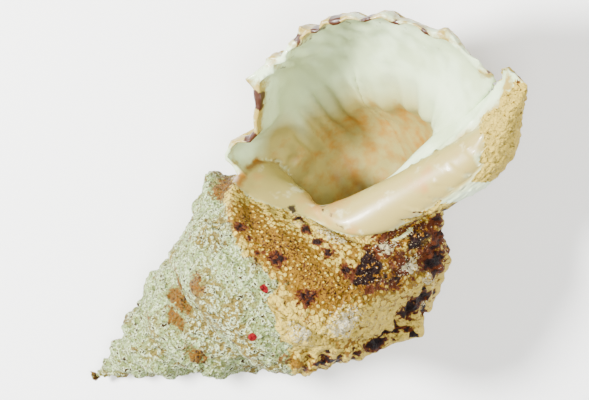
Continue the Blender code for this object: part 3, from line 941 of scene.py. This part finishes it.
def laid_over(tree, colour, upper, level, low, high):
    """The upper colour over the lower one where the level rises from low to high."""
    cover = add(tree, "ShaderNodeMapRange", inputs={0: level, 1: low, 2: high}).outputs[0]
    inputs = {0: cover, 6: colour, 7: upper}
    return add(tree, "ShaderNodeMix", {"data_type": "RGBA"}, inputs).outputs[2]


def layered(tree, colour, layers, found):
    """Lays each (mask, noise, spread, low, high, hex) layer over the colour.

    A mask is the name of an attribute, or None where the noise alone sets the layer.
    """
    for mask, ground, spread, low, high, code in layers:
        value = found[ground]
        if mask is None:
            level = value
        else:
            amount = add(tree, "ShaderNodeAttribute", {"attribute_name": mask}).outputs["Fac"]
            level = loosened(tree, amount, value, spread)
        colour = laid_over(tree, colour, rgb(code), level, low, high)
    return colour


# Outside finish, from the bottom layer up: cream lime with ochre and dark marks, under the crust
OUTSIDE_BASE = "#8A6C18"
OUTSIDE_LAYERS = (
    (None, "cloud", 0.0, 0.46, 0.58, "#74500A"),
    (None, "patch", 0.0, 0.49, 0.58, "#A08430"),
    (None, "grain", 0.0, 0.54, 0.62, "#CDB96E"),
    (None, "dust", 0.0, 0.57, 0.62, "#4A2A06"),
    ("canal", "patch", 1.2, 0.60, 1.00, "#AA9028"),
    ("canal", "grain", 3.0, 1.10, 1.22, "#3E260C"),
    ("stain", "grain", 1.9, 0.35, 0.60, "#7A5606"),
    ("stain", "dust", 2.6, 1.00, 1.15, "#381602"),
    ("stain", "cell", 1.6, 0.54, 0.42, "#C4AA4A"),
    ("groove", "grain", 1.6, 0.35, 0.60, "#4E2404"),
    ("groove", "patch", 1.8, 0.70, 0.90, "#140602"),
    ("patch", "patch", 3.2, 0.85, 1.00, "#54260A"),
    ("patch", "cloud", 3.0, 1.05, 1.20, "#1C0703"),
    ("patch", "grain", 3.6, 1.24, 1.38, "#96640F"),
    ("patch", "dust", 4.0, 1.58, 1.76, "#D6C49A"),
    ("back", "patch", 3.4, 1.25, 1.40, "#5E380C"),
    ("foam", "grain", 3.4, 0.78, 0.92, "#C4B684"),
    ("foam", "dust", 4.0, 1.10, 1.25, "#DCD4B4"),
    ("mark", "grain", 1.8, 0.52, 0.72, "#542404"),
    ("mark", "grain", 1.6, 0.78, 0.92, "#1E0702"),
    ("mark", "dust", 2.0, 1.02, 1.12, "#080102"),
)

# Crust of worn lime and coralline growth, pale mint with tan patches, dark pits and red forams
CRUST_BASE = "#7E8C52"
CRUST_LAYERS = (
    (None, "patch", 0.0, 0.46, 0.54, "#98AC70"),
    (None, "cloud", 0.0, 0.50, 0.60, "#7C6A2C"),
    (None, "patch", 0.0, 0.58, 0.62, "#6A5A2A"),
    (None, "grain", 0.0, 0.50, 0.55, "#C4D2A2"),
    ("stain", "grain", 1.8, 0.42, 0.62, "#6A4408"),
    (None, "dust", 0.0, 0.54, 0.60, "#5E5228"),
    (None, "grain", 0.0, 0.60, 0.64, "#33220E"),
    ("foram", "grain", 0.2, 0.45, 0.55, "#740208"),
)


def weathered_lime():
    """Calcite and aragonite weathered in the sea, under a limy crust.

    To the eye it is matt and grainy, stained ochre and brown, with hardly any highlight.
    """
    material, tree, shader = new_material("weathered_shell_lime")
    found = grounds(tree)
    start = add(tree, "ShaderNodeRGB")
    start.outputs[0].default_value = rgb(OUTSIDE_BASE)
    colour = layered(tree, start.outputs[0], OUTSIDE_LAYERS, found)
    crust = add(tree, "ShaderNodeAttribute", {"attribute_name": "crust"}).outputs["Fac"]
    top = add(tree, "ShaderNodeRGB")
    top.outputs[0].default_value = rgb(CRUST_BASE)
    limy = layered(tree, top.outputs[0], CRUST_LAYERS, found)
    level = loosened(tree, crust, found["grain"], 0.9)
    colour = laid_over(tree, colour, limy, level, 0.42, 0.60)
    tree.links.new(colour, shader.inputs["Base Color"])
    shader.inputs["Roughness"].default_value = 0.60
    shader.inputs["Specular IOR Level"].default_value = 0.15
    shader.inputs["IOR"].default_value = 1.55
    pits = {"Strength": 0.9, "Distance": 0.0014, "Height": found["cell"]}
    grains = add(tree, "ShaderNodeBump", {"invert": True}, pits)
    rough = {"Strength": 1.0, "Distance": 0.0026, "Height": found["grain"], "Normal": grains.outputs[0]}
    dust = add(tree, "ShaderNodeBump", inputs=rough)
    tree.links.new(dust.outputs[0], shader.inputs["Normal"])
    return material


# Inside finish: mint-white glaze, tan deep in the mouth and creamy on the inner lip
INSIDE_BASE = "#BACB9C"
INSIDE_LAYERS = (
    (None, "cloud", 0.0, 0.45, 0.65, "#D4E8C0"),
    ("deep", "cloud", 0.9, 0.10, 0.75, "#9C9050"),
    ("deep", "patch", 1.6, 0.85, 1.30, "#9A6E20"),
    ("lip", "cloud", 0.6, 0.10, 0.70, "#A59450"),
    ("lip", "cloud", 1.8, 0.98, 1.30, "#B27A38"),
    ("lip", "patch", 2.4, 1.20, 1.50, "#C6BE90"),
    ("flange", "patch", 1.2, 0.30, 0.80, "#80540E"),
    ("rim", "grain", 1.4, 0.30, 0.90, "#9C863C"),
    ("notch", "grain", 1.2, 0.25, 0.42, "#3C1A02"),
    ("mark", "grain", 1.0, 0.52, 0.80, "#2A1408"),
)


def porcelain():
    """Fine shell lime laid down smooth in the mouth and on the inner lip.

    To the eye it is glazed and faintly milky, with a soft broad sheen.
    """
    material, tree, shader = new_material("mouth_porcelain")
    found = grounds(tree)
    start = add(tree, "ShaderNodeRGB")
    start.outputs[0].default_value = rgb(INSIDE_BASE)
    colour = layered(tree, start.outputs[0], INSIDE_LAYERS, found)
    tree.links.new(colour, shader.inputs["Base Color"])
    shader.inputs["Roughness"].default_value = 0.40
    shader.inputs["IOR"].default_value = 1.55
    shader.inputs["Coat Weight"].default_value = 0.08
    waves = {"Strength": 0.12, "Distance": 0.0006, "Height": found["patch"]}
    soft = add(tree, "ShaderNodeBump", inputs=waves)
    tree.links.new(soft.outputs[0], shader.inputs["Normal"])
    return material


# How many times the borders of these masks are averaged along the mesh
BORDER_PASSES = (("lip", 10), ("flange", 4), ("glaze", 3))

bm = plain_shell()
bm.verts.ensure_lookup_table()
bm.verts.index_update()
soften(bm, mesh_places(bm)[4])
refine(bm)
points, normals, turn_of, row_of, kind_of = mesh_places(bm)
masks, rough, fine = sheet_masks(points, turn_of, row_of, kind_of)
points = carved(points, normals, turn_of, row_of, kind_of, masks, rough, fine)
stand = np.array(resting_turn())
points = points @ stand.T + np.array(SEAT)
points[:, 2] = np.maximum(points[:, 2], 0.0)
for vert, point in zip(bm.verts, points):
    vert.co = point
ends = np.array([[e.verts[0].index, e.verts[1].index] for e in bm.edges])
for name, passes in BORDER_PASSES:
    masks[name] = blurred(masks[name], ends, passes)
for face in bm.faces:
    face.material_index = int(sum(masks["glaze"][v.index] for v in face.verts) > 1.5)
    face.smooth = True
mesh = bpy.data.meshes.new("shell")
bm.to_mesh(mesh)
bm.free()
for name, values in masks.items():
    layer = mesh.attributes.new(name, "FLOAT", "POINT")
    layer.data.foreach_set("value", np.asarray(values, np.float32))
mesh.materials.append(weathered_lime())
mesh.materials.append(porcelain())
shell = bpy.data.objects.new("shell", mesh)
bpy.context.scene.collection.objects.link(shell)
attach(shell, "root")
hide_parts("triton_shell")


def floor():
    """Plain white paper under the shell."""
    bm = bmesh.new()
    bmesh.ops.create_grid(bm, x_segments=1, y_segments=1, size=1.5)
    plane = bpy.data.meshes.new("floor")
    bm.to_mesh(plane)
    bm.free()
    ground = bpy.data.objects.new("floor", plane)
    bpy.context.scene.collection.objects.link(ground)
    paper = bpy.data.materials.new("white_paper")
    paper.use_nodes = True
    node = paper.node_tree.nodes["Principled BSDF"]
    node.inputs["Base Color"].default_value = rgb("#F7F7F5")
    node.inputs["Roughness"].default_value = 0.9
    plane.materials.append(paper)


def area_light(name, place, target, size, power, colour):
    """A round softbox that faces the target."""
    lamp = bpy.data.lights.new(name, "AREA")
    lamp.shape = "DISK"
    lamp.size = size
    lamp.energy = power
    lamp.color = rgb(colour)[:3]
    holder = bpy.data.objects.new(name, lamp)
    holder.location = place
    holder.rotation_euler = (Vector(target) - Vector(place)).to_track_quat("-Z", "Y").to_euler()
    bpy.context.scene.collection.objects.link(holder)


floor()
area_light("key_softbox", (-0.45, 0.50, 0.80), (0.0, 0.0, 0.04), 0.20, 46.0, "#FFFFFF")
area_light("mouth_softbox", (0.34, -0.06, 1.25), (0.05, 0.0, 0.05), 0.40, 20.0, "#FFFFFF")
area_light("fill_softbox", (0.60, -0.50, 0.80), (0.0, 0.0, 0.04), 0.8, 5.0, "#FFFFFF")
world = bpy.data.worlds.new("studio")
world.use_nodes = True
world.node_tree.nodes["Background"].inputs["Color"].default_value = rgb("#FFFFFF")
world.node_tree.nodes["Background"].inputs["Strength"].default_value = 0.48
bpy.context.scene.world = world

camera_data = bpy.data.cameras.new("camera")
camera_data.lens = CAMERA_LENS
camera_data.sensor_width = 36.0
camera = bpy.data.objects.new("camera", camera_data)
back = Vector(CAMERA_RIGHT).cross(Vector(CAMERA_UP))
facing = Matrix((Vector(CAMERA_RIGHT), Vector(CAMERA_UP), back)).transposed()
camera.matrix_world = Matrix.Translation(Vector(CAMERA_PLACE)) @ facing.to_4x4()
bpy.context.scene.collection.objects.link(camera)
bpy.context.scene.camera = camera
